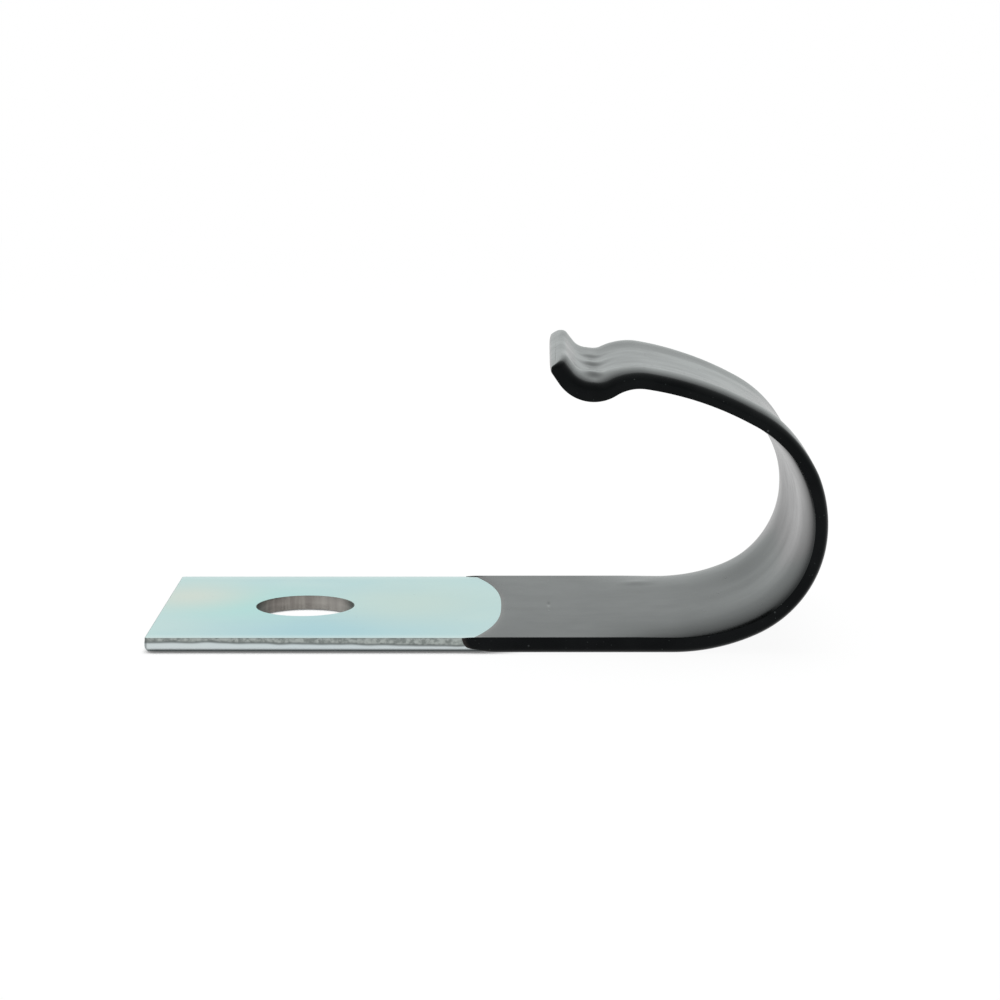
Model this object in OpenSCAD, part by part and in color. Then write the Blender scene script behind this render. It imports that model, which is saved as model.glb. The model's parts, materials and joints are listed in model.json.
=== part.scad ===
// Wiring harness clip: one steel strip bent to a J with a curled lead-in lip,
// dipped in black vinyl from the middle of its base to its tip.
// Origin: centre of the screw hole, on the underside of the base. +X runs to the hook, +Z is up.

/* [Strip] */
// Width of the steel strip
strip_w = 25.4; // [15:0.1:40]
// Thickness of the steel strip
strip_t = 1.2; // [0.9:0.1:2]
// Rounding that blanking leaves along the strip's outer edges
roll_r = 0.55; // [0.1:0.05:0.7]

/* [Base] */
// Straight length of the base, from the square end to the first bend
base_len = 43.1; // [36:0.1:70]
// Distance from the square end to the centre of the screw hole
hole_end = 12.2; // [8:0.1:18]
// Diameter of the screw hole
hole_d = 8.4; // [4:0.1:12]

/* [Hook] */
// Radius of the gentle bend that lifts off the base, at mid-thickness
rise_r = 15.8; // [10:0.1:24]
// Angle of the gentle bend
rise_a = 24.5; // [10:0.5:35]
// Radius of the lower part of the hook
hook_r = 9; // [7:0.1:14]
// Angle of the lower part of the hook
hook_a = 60; // [45:0.5:75]
// Radius of the upper part of the hook
crown_r = 10.25; // [8:0.05:16]
// Angle of the upper part of the hook
crown_a = 67; // [50:0.5:80]
// Radius of the arm's slight bow
arm_r = 26.5; // [20:0.5:50]
// Angle of the arm's slight bow
arm_a = 20; // [10:0.5:30]

/* [Lip] */
// Radius of the knee that turns the arm down
knee_r = 4.2; // [3:0.1:8]
// Angle of the knee
knee_a = 40.5; // [20:0.5:50]
// Radius of the lip's reversed curl
lip_r = 2.7; // [2:0.1:5]
// Angle of the lip's reversed curl
lip_a = 88; // [50:0.5:100]
// Straight length after the curl, up to the strip's tip
tip_len = 1.35; // [0.5:0.05:5]

/* [Coating] */
// Thickness of the vinyl coating
coat_t = 0.08; // [0.05:0.01:0.4]
// Distance from the square end to the foremost point of the bare tongue
dip_end = 29.1; // [24:0.1:34]
// Radius of the dip line across the base
dip_r = 34; // [26:0.5:60]

/* [Hidden] */
$fn = 96;
// Largest angle that one flat of a bend covers
bend_step = 6;
// Flats in one rounded edge of the strip
edge_steps = 4;
// Rounding of the coating along the strip's sharp inner edges
coat_edge_r = 1.5 * coat_t;
// Extra reach of a cutting shape past the faces that it cuts
reach = 1;
// Size of the strip with its coating
coat_w = strip_w + 2 * coat_t;
coated_t = strip_t + 2 * coat_t;
// The dip line meets the coated edges this far behind its foremost point
dip_sag = dip_r - sqrt(dip_r * dip_r - coat_w * coat_w / 4);
// The sleeve is laid on from here, and the dip line then cuts its start back
sleeve_start = dip_end - dip_sag - reach;
// Steps from the base to the tip: [mid-line radius, angle] of a bend, or [length, 0] of a straight
bends = [
    [rise_r, rise_a],
    [hook_r, hook_a],
    [crown_r, crown_a],
    [arm_r, arm_a],
    [knee_r, knee_a],
    [lip_r, -lip_a],
];

// Station on the mid-line, a share of the way along one step: [x, z, heading]
function advance(from, step, share = 1) =
    let (size = step[0], turn = step[1], heading = from[2], to = heading + share * turn)
    turn == 0
        ? [from[0] + share * size * cos(heading), from[1] + share * size * sin(heading), heading]
        : [from[0] + sign(turn) * size * (sin(to) - sin(heading)),
           from[1] - sign(turn) * size * (cos(to) - cos(heading)),
           to];

// Stations after the first, over a whole list of steps
function follow(from, steps, i = 0) =
    i == len(steps)
        ? []
        : let (count = max(1, ceil(abs(steps[i][1]) / bend_step)))
          concat([for (k = [1 : count]) advance(from, steps[i], k / count)],
                 follow(advance(from, steps[i]), steps, i + 1));

// Mid-line from a point on the base to past the end of the curl
function midline(start, tail) =
    let (first = [start - hole_end, strip_t / 2, 0])
    concat([first], follow(first, concat([[base_len - start, 0]], bends, [[tail, 0]])));

// Points of one rounded corner about its centre, or the corner itself where it is sharp
function corner(x, y, r, from) =
    r == 0 ? [[x, y]] : [for (k = [0 : edge_steps])
        let (a = from + 90 * k / edge_steps) [x + r * cos(a), y + r * sin(a)]];

// Outline of the strip's section, [across the width, towards the inside of the hook]
function band(w, t, outer_r, inner_r) =
    let (outer_x = w / 2 - outer_r, outer_y = t / 2 - outer_r)
    let (inner_x = w / 2 - inner_r, inner_y = t / 2 - inner_r)
    concat(corner(-outer_x, -outer_y, outer_r, 180),
           corner(outer_x, -outer_y, outer_r, 270),
           corner(inner_x, inner_y, inner_r, 0),
           corner(-inner_x, inner_y, inner_r, 90));

// Section carried along the mid-line, square to it at every station
module carry(stations, outline) {
    n = len(outline);
    last = (len(stations) - 1) * n;
    points = [for (s = stations, p = outline)
        [s[0] - p[1] * sin(s[2]), p[0], s[1] + p[1] * cos(s[2])]];
    sides = [for (i = [0 : n : last - n], j = [0 : n - 1])
        let (next = (j + 1) % n) [i + j, i + n + j, i + n + next, i + next]];
    start_cap = [for (j = [0 : n - 1]) j];
    end_cap = [for (j = [n - 1 : -1 : 0]) last + j];
    polyhedron(points, concat([start_cap], sides, [end_cap]));
}

module bent_strip() {
    carry(midline(0, tip_len), band(strip_w, strip_t, roll_r, 0));
}

// Screw hole through the base
module screw_hole() {
    cylinder(d = hole_d, h = 2 * (strip_t + reach), center = true);
}

// What blanking rounds off the lower edge of the square end
module end_rounding() {
    translate([-hole_end, 0, 0])
        rotate([90, 0, 0])
            linear_extrude(strip_w + 2 * reach, center = true)
                difference() {
                    translate([-reach, -reach]) square(reach + roll_r);
                    translate([roll_r, roll_r]) circle(roll_r);
                }
}

// All that lies before the dip line
module bare_tongue() {
    translate([dip_end - dip_r - hole_end, 0, 0])
        cylinder(r = dip_r, h = 2 * (coated_t + reach), center = true);
}

module steel_strip() {
    color("#bcd3d4")
        difference() {
            bent_strip();
            screw_hole();
            end_rounding();
        }
}

module vinyl_coating() {
    color("#1a1b1d")
        difference() {
            carry(midline(sleeve_start, tip_len + coat_t),
                  band(coat_w, coated_t, roll_r + coat_t, coat_edge_r));
            bent_strip();
            bare_tongue();
        }
}

steel_strip();
vinyl_coating();
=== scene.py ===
# %% [markdown]
# # A wiring harness clip
# The clip is a strip of zinc plated steel, an inch wide. It was punched and cut flat, bent to a J with a
# curled lip, and dipped in black vinyl from the middle of its base to its tip.
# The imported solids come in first, as a fixed frame. Every piece below is made in that same frame, so
# nothing is fitted afterwards. Lengths are worked in millimetres, as on a drawing, and turned into
# metres where a mesh is made.

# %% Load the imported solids
import json
import math

import bmesh
import bpy
import numpy as np
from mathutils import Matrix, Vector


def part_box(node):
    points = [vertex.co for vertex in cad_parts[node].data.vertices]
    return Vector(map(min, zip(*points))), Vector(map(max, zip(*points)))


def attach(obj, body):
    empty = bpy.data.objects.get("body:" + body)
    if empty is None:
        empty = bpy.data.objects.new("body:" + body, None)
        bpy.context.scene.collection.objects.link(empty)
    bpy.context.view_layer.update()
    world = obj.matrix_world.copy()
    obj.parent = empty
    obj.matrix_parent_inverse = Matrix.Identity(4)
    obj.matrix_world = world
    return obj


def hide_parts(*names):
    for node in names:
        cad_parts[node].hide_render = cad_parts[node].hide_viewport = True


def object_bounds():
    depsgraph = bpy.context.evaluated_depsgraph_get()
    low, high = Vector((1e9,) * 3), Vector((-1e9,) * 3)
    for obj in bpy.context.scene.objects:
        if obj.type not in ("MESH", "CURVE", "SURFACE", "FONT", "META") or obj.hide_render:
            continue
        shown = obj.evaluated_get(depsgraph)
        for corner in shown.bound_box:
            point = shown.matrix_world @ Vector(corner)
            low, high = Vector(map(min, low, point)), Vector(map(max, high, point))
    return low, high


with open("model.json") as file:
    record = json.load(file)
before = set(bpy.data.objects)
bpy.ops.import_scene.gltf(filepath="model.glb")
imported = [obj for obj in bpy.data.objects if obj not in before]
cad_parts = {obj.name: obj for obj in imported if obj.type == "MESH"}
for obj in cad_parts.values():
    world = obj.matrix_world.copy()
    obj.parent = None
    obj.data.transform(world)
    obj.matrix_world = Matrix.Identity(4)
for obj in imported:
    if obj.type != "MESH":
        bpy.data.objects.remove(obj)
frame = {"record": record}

MM = 0.001
cad_low, cad_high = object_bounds()
print("CAD box, mm:", [round(v / MM, 2) for v in (*cad_low, *cad_high)])

# %% [markdown]
# ## The camera
# The picture was taken from a little above the base with a long lens, square on to the strip's near
# edge. A camera could be turned by eye until the outlines agree. Here its height, distance and tilt were
# worked out from the vanishing of the strip's square end, so they are plain numbers.

# %% Set up the camera
SENSOR_WIDTH = 36.0
LENS = 91.31
CAMERA_AT = (16.80, -214.3, 47.04)
LOOK_DOWN = math.radians(9.69)
camera_data = bpy.data.cameras.new("camera")
camera_data.sensor_width = SENSOR_WIDTH
camera_data.lens = LENS
camera = bpy.data.objects.new("camera", camera_data)
bpy.context.scene.collection.objects.link(camera)
camera.location = [v * MM for v in CAMERA_AT]
camera.rotation_euler = (math.pi / 2 - LOOK_DOWN, 0.0, 0.0)
bpy.context.scene.camera = camera
print("camera at", CAMERA_AT, "mm")

# %% [markdown]
# ## The bent strip
# The strip's own sizes come from the frame: its width, the coat on it, and the hole's radius and depth.
# The bends could be read off the solid's vertices, but a bend is better kept as what the press brake was
# set to, a radius and an angle. The mid-line then follows from a straight, six bends and a short tip, and
# every point of the strip is a distance along that line, a place across the width, and a height towards
# the hook's inside.

# %% Sizes of the strip
ROLL_R = 0.55
steel_low, steel_high = (np.array(corner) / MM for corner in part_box("steel_strip"))
vinyl_high = np.array(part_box("vinyl_coating")[1]) / MM
screw_hole = next(m for m in frame["record"]["mounts"] if m["name"] == "screw_hole")
hole_r = screw_hole["dims"]["r_mm"]
strip_t = screw_hole["dims"]["length_mm"]
hole_end = -steel_low[0]
half_w = steel_high[1]
coat_t = vinyl_high[1] - steel_high[1]
print(f"strip {2 * half_w:.2f} x {strip_t:.2f} mm, hole radius {hole_r:.2f}, coat {coat_t:.2f}")

# %% The mid-line
BASE_LEN = 43.1
TIP_LEN = 1.35
BENDS = [(15.8, 24.5), (9.0, 60.0), (10.25, 67.0), (26.5, 20.0), (4.2, 40.5), (2.7, -88.0)]
# Numbers of the steps that are named below: 0 is the base, 1 the gentle rise, and 7 the tip
HOOK, CROWN, ARM, KNEE, LIP = range(2, 7)
bend_r, bend_angle = np.array(BENDS).T
bend_turn = np.radians(bend_angle)
step_len = np.concatenate([[BASE_LEN], bend_r * np.abs(bend_turn), [TIP_LEN]])
step_turn = np.concatenate([[0.0], bend_turn, [0.0]])
step_start = np.concatenate([[0.0], np.cumsum(step_len)[:-1]])
step_middle = step_start + step_len / 2
step_heading = np.concatenate([[0.0], np.cumsum(step_turn)[:-1]])
strip_len = step_len.sum()


def travel(length, turn, heading):
    """Chord of a step: a straight runs its length along the heading. A bend of radius length / turn
    runs r (sin end - sin start) in x and r (cos start - cos end) in z."""
    bent = np.abs(turn) > 1e-9
    radius = np.divide(length, turn, out=np.zeros_like(length), where=bent)
    end = heading + turn
    along_x = np.where(bent, radius * (np.sin(end) - np.sin(heading)), length * np.cos(heading))
    along_z = np.where(bent, radius * (np.cos(heading) - np.cos(end)), length * np.sin(heading))
    return along_x, along_z


step_dx, step_dz = travel(step_len, step_turn, step_heading)
step_x = -hole_end + np.concatenate([[0.0], np.cumsum(step_dx)[:-1]])
step_z = strip_t / 2 + np.concatenate([[0.0], np.cumsum(step_dz)[:-1]])
print(f"mid-line: {len(step_len)} steps, developed length {strip_len:.2f} mm")

# %% [markdown]
# ### What bending does to the section
# A bent strip doesn't keep a plain rectangle for its section. It curls the other way across its width,
# most of all near its free edges, and its faces fall away a little towards those edges. A sculpting brush
# could push the mesh about. Here each effect is a short formula in the way to the nearest edge. The steel
# and its coat both use it, so they never part.

# %% Shift of a point by bending
CURL = 0.15
CURL_SHARE = (0.3, 0.5, 0.8, 1.0, 0.6, -0.8)
TIP_CURL_SHARE = -0.3
FALL_IN, FALL_ARM, FALL_KNEE, FALL_LIP = 0.14, 0.5, 0.28, 0.4
ROUND_IN = 0.1
WIDE_IN, WIDE_OUT, WIDE_ROUND = 2.6, 1.1, 0.4
# How far ahead of a bend its effect starts, how far into the rise it is set, and the lead on the arm
BEND_LEAD, RISE_RUN, ARM_LEAD = 3.0, 2.0, 1.0
curl_d = np.concatenate([[BASE_LEN - BEND_LEAD], step_middle[1:-1], [strip_len]])
curl_size = CURL * np.array([0.0, *CURL_SHARE, TIP_CURL_SHARE])
curl_reach = np.sqrt(strip_t * np.concatenate([bend_r[:1], bend_r, bend_r[-1:]]))
# The hollow of the lip lies where the strip runs level again
valley_d = step_start[LIP] + (step_heading[LIP] - np.pi) * bend_r[-1]
hook_d = [BASE_LEN - BEND_LEAD, BASE_LEN + RISE_RUN, step_middle[HOOK] - BEND_LEAD, step_middle[CROWN],
          step_start[ARM]]
hook_share = [0.0, 0.25, 1.0, 1.0, 0.0]
arm_d = [step_middle[CROWN] - ARM_LEAD, step_start[ARM], step_start[KNEE], step_start[LIP], valley_d,
         strip_len]
arm_fall = [0.0, FALL_ARM, FALL_KNEE, FALL_KNEE, 0.0, FALL_LIP]


def settle(distance, across, inward):
    """How far forming has moved a point towards the hook's inside. A bend turns the strip's free edges
    away from its centre, so the middle stands in by curl (1 - exp(-gap / reach)), where gap is the way to
    the edge and reach is the root of radius times thickness. The inner face falls off towards its edges
    in the hook, and the outer face on the arm, the knee and the tip, each by fall exp(-gap / width)."""
    gap = np.clip(half_w - np.abs(across), 0.0, None)
    reach = np.interp(distance, curl_d, curl_reach)
    curl = np.interp(distance, curl_d, curl_size) * (1 - np.exp(-gap / reach))
    towards_inner = np.clip(inward / strip_t + 0.5, 0.0, 1.0)
    inner_fall = FALL_IN * np.exp(-gap / WIDE_IN) + ROUND_IN * np.exp(-gap / WIDE_ROUND)
    inner_fall = inner_fall * np.interp(distance, hook_d, hook_share)
    outer_fall = np.interp(distance, arm_d, arm_fall) * np.exp(-gap / WIDE_OUT)
    return curl - towards_inner * inner_fall + (1 - towards_inner) * outer_fall


print(f"curl up to {np.abs(curl_size).max():.2f} mm, hollow of the lip at {valley_d:.1f} mm")

# %% A point of the bent strip
LIP_SKEW = 0.45
SKEW_LEAD = 4.0
CREST_POINTS = 4000


def place(distance, across, inward):
    """Point of the strip in the frame. The mid-line is followed for the distance from the square end, and
    the point lies across it by its y and off it by inward, along the normal (-sin heading, cos heading).
    The lip was bent a little askew, so its far side is shifted along x."""
    distance, across, inward = np.broadcast_arrays(distance, across, inward)
    inward = inward + settle(distance, across, inward)
    step = np.clip(np.searchsorted(step_start, distance, side="right") - 1, 0, len(step_len) - 1)
    run = distance - step_start[step]
    turn = step_turn[step] * run / step_len[step]
    dx, dz = travel(run, turn, step_heading[step])
    heading = step_heading[step] + turn
    skew = LIP_SKEW * (across / half_w + 1) / 2
    skew = skew * np.interp(distance, [step_start[KNEE] - SKEW_LEAD, valley_d], [0.0, 1.0])
    x = step_x[step] + dx - inward * np.sin(heading) + skew
    z = step_z[step] + dz + inward * np.cos(heading)
    return np.stack([x, across, z], axis=-1)


crest = place(np.linspace(0, strip_len, CREST_POINTS), half_w, -strip_t / 2)[:, 2].max()
print(f"top of the bent strip {crest:.2f} mm, against {steel_high[2]:.2f} in the frame")

# %% [markdown]
# ## From arrays to a mesh
# A piece is a few grids of points. Each grid becomes quads, the grids are laid side by side in one mesh,
# and points that coincide are merged, which closes the seams. Modifiers could do the joining, but whole
# arrays are quicker and can be checked. Each point also carries its place on the strip as a UV pair in
# millimetres, along and around, so that a finish can follow the bends, and a few marks of its own.

# %% Noise and easing
WAVES = 28
SHORTEST_WAVE, LONGEST_WAVE = 0.6, 1.8
NOISE_PEAK = 1.5


def soft_noise(along, around, grain_along, grain_around, seed):
    """Smooth noise of about -1 to 1: the sum of seeded sine waves. Each runs in its own direction, with a
    wavelength between the shortest and the longest in grains and a phase of its own. The sum is divided
    by the root of half their number, times the noise's peak."""
    draw = np.random.default_rng(seed)
    direction = draw.uniform(0, 2 * np.pi, WAVES)
    wavelength = draw.uniform(SHORTEST_WAVE, LONGEST_WAVE, WAVES)
    phase = draw.uniform(0, 2 * np.pi, WAVES)
    along, around = np.broadcast_arrays(along, around)
    turns = along[..., None] * np.cos(direction) / (grain_along * wavelength)
    turns = turns + around[..., None] * np.sin(direction) / (grain_around * wavelength)
    return np.sin(2 * np.pi * turns + phase).sum(-1) / (NOISE_PEAK * np.sqrt(WAVES / 2))


def smooth(value, low, high):
    """Smoothstep: 0 up to low, 1 from high, and 3 t squared - 2 t cubed between them."""
    t = np.clip((value - low) / (high - low), 0.0, 1.0)
    return t * t * (3 - 2 * t)


print("noise:", WAVES, "waves, easing at the middle of its range:", smooth(0.5, 0.0, 1.0))

# %% Grids and quads
def grid(points, along, around, **marks):
    """One grid of points, with its place on the strip and its marks spread to the grid's shape."""
    shape = points.shape[:2]
    spread = {name: np.broadcast_to(values, shape) for name, values in marks.items()}
    return dict(points=points, along=np.broadcast_to(along, shape),
                around=np.broadcast_to(around, shape), marks=spread)


def quads(rows, columns, first):
    """Corner numbers of a grid's quads, where the points are numbered row by row from first."""
    number = first + np.arange(rows * columns).reshape(rows, columns)
    corners = (number[:-1, :-1], number[1:, :-1], number[1:, 1:], number[:-1, 1:])
    return np.stack(corners, axis=-1).reshape(-1, 4)


def joined_mesh(name, grids):
    """The grids side by side in one mesh, with their places on the strip as UVs and their marks as
    attributes of the face corners."""
    counts = [g["points"].shape[0] * g["points"].shape[1] for g in grids]
    firsts = np.concatenate([[0], np.cumsum(counts)[:-1]])
    points = np.concatenate([g["points"].reshape(-1, 3) for g in grids]) * MM
    faces = np.concatenate([quads(*g["points"].shape[:2], first) for g, first in zip(grids, firsts)])
    mesh = bpy.data.meshes.new(name)
    mesh.from_pydata(points.tolist(), [], faces.tolist())
    along = np.concatenate([g["along"].ravel() for g in grids])
    around = np.concatenate([g["around"].ravel() for g in grids])
    corner = np.empty(len(mesh.loops), dtype=np.int64)
    mesh.loops.foreach_get("vertex_index", corner)
    on_strip = np.stack([along, around], axis=-1)[corner]
    mesh.uv_layers.new(name="strip").data.foreach_set("uv", on_strip.ravel().astype(np.float32))
    for mark in grids[0]["marks"]:
        values = np.concatenate([g["marks"][mark].ravel() for g in grids])
        layer = mesh.attributes.new(mark, "FLOAT", "CORNER")
        layer.data.foreach_set("value", values[corner].astype(np.float32))
    return mesh


print("a grid of 3 by 3 points has", len(quads(3, 3, 0)), "quads")

# %% A closed piece from its grids
WELD = 0.0004


def close_mesh(mesh):
    """Merges the points that meet, fills the open ends and turns the faces outwards. It gives the number
    of edges left open and the volume in cubic millimetres."""
    body = bmesh.new()
    body.from_mesh(mesh)
    bmesh.ops.remove_doubles(body, verts=body.verts, dist=WELD * MM)
    bmesh.ops.dissolve_degenerate(body, edges=body.edges, dist=WELD * MM / 4)
    bmesh.ops.holes_fill(body, edges=[e for e in body.edges if e.is_boundary], sides=0)
    bmesh.ops.recalc_face_normals(body, faces=body.faces)
    open_edges = sum(1 for e in body.edges if not e.is_manifold)
    volume = body.calc_volume(signed=True) / MM**3
    body.to_mesh(mesh)
    body.free()
    return open_edges, volume


def make_piece(name, grids, replaced, sharp_angle):
    """A closed piece from its grids, smooth up to the sharp angle. It rides on the one body and stands
    for a solid of the frame."""
    mesh = joined_mesh(name, grids)
    open_edges, volume = close_mesh(mesh)
    mesh.shade_smooth()
    mesh.set_sharp_from_angle(angle=math.radians(sharp_angle))
    piece = bpy.data.objects.new(name, mesh)
    bpy.context.scene.collection.objects.link(piece)
    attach(piece, "root")
    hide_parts(replaced)
    print(f"{name}: {len(mesh.polygons)} faces, {open_edges} open edges, {volume:.1f} mm3")
    return piece


print("points closer than", WELD, "mm are merged")

# %% [markdown]
# ## The steel strip
# A punch leaves three bands on a cut edge. The lower rim is drawn down to a round, the middle is
# burnished by the die, and the upper part breaks off, stays rough and leans in a little. The solid in the
# frame has only the round. A bump map could fake the rest, but the edge faces the camera, so the bands
# are made as geometry: one profile of inset against height, carried round the blank's outline.

# %% Heights of the cut edge
BURNISH_TOP = 0.6
EDGE_R = 0.05
ROLL_POINTS, BURNISH_POINTS, BREAK_POINTS, RIM_POINTS = 9, 3, 9, 4
roll_heights = ROLL_R * (1 - np.cos(np.linspace(0, np.pi / 2, ROLL_POINTS)))
burnish_heights = np.linspace(ROLL_R, BURNISH_TOP, BURNISH_POINTS)[1:]
break_heights = np.linspace(BURNISH_TOP, strip_t - EDGE_R, BREAK_POINTS)[1:]
rim_heights = strip_t - EDGE_R + EDGE_R * np.sin(np.linspace(0, np.pi / 2, RIM_POINTS))[1:]
edge_heights = np.concatenate([roll_heights, burnish_heights, break_heights, rim_heights])
edge_around = half_w + strip_t - edge_heights
print(f"cut edge: {len(edge_heights)} heights, burnished from {ROLL_R} to {BURNISH_TOP} mm")

# %% Inset of the cut edge
BREAK_TILT = 0.0128
TILT_FROM, TILT_TO = -6.0, 22.0
LINE_WAVER, LINE_GRAIN = 0.03, 2.2
BREAK_FROM, BREAK_FULL = -0.04, 0.06
BREAK_LEAN = 0.03
BREAK_GRIT = 0.022
COARSE_GRAIN, FINE_GRAIN = (0.9, 0.35), (0.32, 0.22)
GRIT_END = 0.2


def round_inset(depth, radius):
    """How far a rounded rim lies behind its face: r - sqrt(r squared - depth squared), where depth is how
    far the point is into the round."""
    depth = np.clip(depth, 0.0, radius)
    return radius - np.sqrt(radius**2 - depth**2)


def over_line(station, height):
    """Height above the line between the burnished band and the break. The line rises by the tilt along
    the near edge, towards the square end, and wavers."""
    line = BURNISH_TOP + BREAK_TILT * np.clip(station, TILT_FROM, TILT_TO)
    return height - line - LINE_WAVER * soft_noise(station, 0.0, LINE_GRAIN, 1.0, seed=3)


def break_share(station, height):
    """1 on the rough break and 0 below it, eased over a tenth of a millimetre."""
    return smooth(over_line(station, height), BREAK_FROM, BREAK_FULL)


def edge_inset(station, height):
    """Inset of the cut edge at a station along the outline and a height above the underside: the drawn
    round below, the small rim above, and a lean and grit that grow with the break's share. The grit is a
    half, three tenths of coarse noise and two tenths of fine noise, and it ends below the rim."""
    share = break_share(station, height)
    grit = 0.5 + 0.3 * soft_noise(station, height, *COARSE_GRAIN, seed=5)
    grit = grit + 0.2 * soft_noise(station, height, *FINE_GRAIN, seed=6)
    grit = np.clip(grit, 0.0, 1.0) * (1 - smooth(height, strip_t - GRIT_END, strip_t - EDGE_R))
    lean = BREAK_LEAN * (height - BURNISH_TOP) / (strip_t - BURNISH_TOP)
    rims = round_inset(ROLL_R - height, ROLL_R) + round_inset(height - strip_t + EDGE_R, EDGE_R)
    return rims + share * (lean + BREAK_GRIT * grit)


print(f"break: leans in {BREAK_LEAN} mm, with grit of {BREAK_GRIT} mm")

# %% Marks of the cut edge
# A thin line of painted shade where the break begins, this wide
TORN_WIDTH = 0.09
# Painted shade on the drawn round: full up to the first height and gone by the second
DRAWN_FULL, DRAWN_END = 0.16, 0.36
NO_MARKS = dict(cut_edge=0.0, rough_break=0.0, shade_line=0.0, round_shade=0.0, hole_wall=0.0)


def edge_marks(station, height):
    """Masks for the finish: the cut edge, the rough break on it, a thin line of painted shade where the
    break begins, painted shade on the drawn round below, and no hole wall. The shaded line is exp(-(height
    over the line / width) squared)."""
    station, height = np.broadcast_arrays(station, height)
    torn = np.exp(-(over_line(station, height) / TORN_WIDTH)**2)
    return dict(cut_edge=np.ones_like(height), rough_break=break_share(station, height), shade_line=torn,
                round_shade=1 - smooth(height, DRAWN_FULL, DRAWN_END), hole_wall=np.zeros_like(height))


print("marks:", ", ".join(NO_MARKS))

# %% [markdown]
# ### The holed plate
# The first inch of the strip has a hole, so it isn't a plain sweep. A boolean cut would leave ragged
# triangles round the hole. Instead the plate's outline is a list of stations with an outward direction
# each: along the near edge, round the square end, and back along the far edge. The cut edge is the
# profile carried round it. Above and below, each station is joined to the point of the hole's rim that
# lies in the same direction from the hole's centre.

# %% Outline of the plate
CORNER_R = 0.3
EDGE_STEP = 0.2
CORNER_POINTS = 6
seam = 2 * hole_end
side_run = np.linspace(seam, CORNER_R, round(seam / EDGE_STEP))
end_run = np.linspace(CORNER_R - half_w, half_w - CORNER_R, round(2 * half_w / EDGE_STEP))
quarter = np.linspace(0, np.pi / 2, CORNER_POINTS)[1:-1]
side_count = len(side_run) + len(quarter)
facing = np.concatenate([np.full(len(side_run), -np.pi / 2), -np.pi / 2 - quarter,
                         np.full(len(end_run), -np.pi), -np.pi - quarter,
                         np.full(len(side_run), -3 * np.pi / 2)])
centre_d = np.concatenate([side_run, np.full(len(end_run) + 2 * len(quarter), CORNER_R),
                           side_run[::-1]])
centre_y = np.concatenate([np.full(side_count, CORNER_R - half_w), end_run,
                           np.full(side_count, half_w - CORNER_R)])
out_d, out_y = np.cos(facing), np.sin(facing)
line_d, line_y = centre_d + CORNER_R * out_d, centre_y + CORNER_R * out_y
station = np.concatenate([[0.0], np.cumsum(np.hypot(np.diff(line_d), np.diff(line_y)))])
print(f"outline: {len(station)} stations over {station[-1]:.1f} mm")

# %% The plate's cut edge
# Share of painted shade laid over the rounded corners of the square end
CORNER_SHADE = 0.7


def flat_point(distance, across, height):
    """A point of the flat base, which lies straight along x."""
    distance, across, height = np.broadcast_arrays(distance, across, height)
    return np.stack([distance - hole_end, across, height], axis=-1)


# A deep inset would fold the small corners over, so it is held within the straight edges' own inset
edge_at = edge_inset(station[:, None], edge_heights[None, :])
wall_d = np.maximum(line_d[:, None] - edge_at * out_d[:, None], edge_at)
wall_y = np.clip(line_y[:, None] - edge_at * out_y[:, None], edge_at - half_w, half_w - edge_at)
plate_marks = edge_marks(station[:, None], edge_heights[None, :])
at_corner = 2 * np.abs(out_d * out_y)[:, None]
plate_marks["round_shade"] = np.maximum(plate_marks["round_shade"], CORNER_SHADE * at_corner)
plate_edge = grid(flat_point(wall_d, wall_y, edge_heights[None, :]), station[:, None],
                  edge_around[None, :], **plate_marks)
print(f"plate's cut edge: inset up to {edge_at.max():.2f} mm")

# %% Rims of the plate's faces
SEAM_POINTS = 65


def face_rim(level):
    """Closed rim of the top or bottom face: the cut edge at that level, then across the seam, and back
    to the first station."""
    across_seam = np.linspace(wall_y[-1, level], wall_y[0, level], SEAM_POINTS)[1:]
    rim_d = np.concatenate([wall_d[:, level], np.full(len(across_seam), seam)])
    rim_y = np.concatenate([wall_y[:, level], across_seam])
    return rim_d, rim_y


top_d, top_y = face_rim(-1)
under_d, under_y = face_rim(0)
bearing = np.arctan2(top_y, top_d - hole_end)
print(f"plate: {len(bearing)} bearings round the hole")

# %% Wall of the hole
HOLE_ROLL = 0.04
HOLE_FLARE = 0.03
HOLE_TORN, HOLE_CLEAN = 0.35, 0.6
HOLE_BREAK = 0.6
HOLE_POINTS, HOLE_RIM_POINTS = 9, 6


def hole_grit(turn, height):
    """Unevenness of the wall, 0 to 1: a half, plus half of cos(3 turn + 7 height) times sin(11 turn). The
    whole numbers close it after a full turn."""
    return 0.5 + 0.5 * np.cos(3 * turn + 7 * height) * np.sin(11 * turn)


hole_rim = strip_t - HOLE_ROLL + HOLE_ROLL * np.sin(np.linspace(0, np.pi / 2, HOLE_RIM_POINTS))[1:]
hole_heights = np.concatenate([np.linspace(0, strip_t - HOLE_ROLL, HOLE_POINTS), hole_rim])
hole_rough = 1 - smooth(hole_heights, HOLE_TORN, HOLE_CLEAN)
hole_at = (hole_r + round_inset(hole_heights - strip_t + HOLE_ROLL, HOLE_ROLL)
           + HOLE_FLARE * hole_rough * hole_grit(bearing[:, None], hole_heights))
hole_d = hole_end + hole_at * np.cos(bearing[:, None])
hole_y = hole_at * np.sin(bearing[:, None])
hole_marks = {**NO_MARKS, "rough_break": HOLE_BREAK * hole_rough, "hole_wall": 1.0}
hole_wall = grid(flat_point(hole_d, hole_y, hole_heights[None, :]), (bearing * hole_r)[:, None],
                 hole_heights[None, :], **hole_marks)
print(f"hole: radius {hole_at.min():.2f} to {hole_at.max():.2f} mm")

# %% Faces of the plate
FACE_RINGS = 26
EVEN_SHARE = 0.35
spread = np.linspace(0, 1, FACE_RINGS)


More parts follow.
